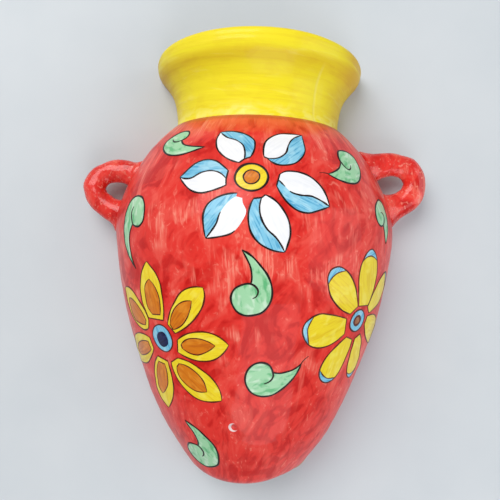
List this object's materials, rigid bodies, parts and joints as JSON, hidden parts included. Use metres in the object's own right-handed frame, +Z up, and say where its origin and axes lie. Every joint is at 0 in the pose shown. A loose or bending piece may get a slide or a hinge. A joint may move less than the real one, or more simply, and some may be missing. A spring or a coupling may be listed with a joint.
{
  "type": "hanging wall vase",
  "caption": "Half-round glazed earthenware wall vase with a flat back, flared collar and loop handles, hung from a hole in its back.",
  "frame": {"origin": "centre of the hanging hole on the flat back face, which lies on the wall", "axes": "+Z up, +Y into the wall, -Y out into the room, +X to the viewer's right"},
  "size_m": [0.2497, 0.1013, 0.3],
  "materials": {
    "red_glaze": "glossy brushed glaze",
    "yellow_glaze": "glossy brushed glaze",
    "bare_clay": "unglazed terracotta",
    "liner_glaze": "thin clear glaze over clay"
  },
  "bodies": {
    "root": {"belly": "red_glaze", "collar": "yellow_glaze", "back_slab": "bare_clay", "left_handle": "red_glaze", "right_handle": "red_glaze", "belly_back_coil": "liner_glaze", "collar_back_coils": "liner_glaze", "collar_joint_coil": "liner_glaze"}
  },
  "joints": []
}
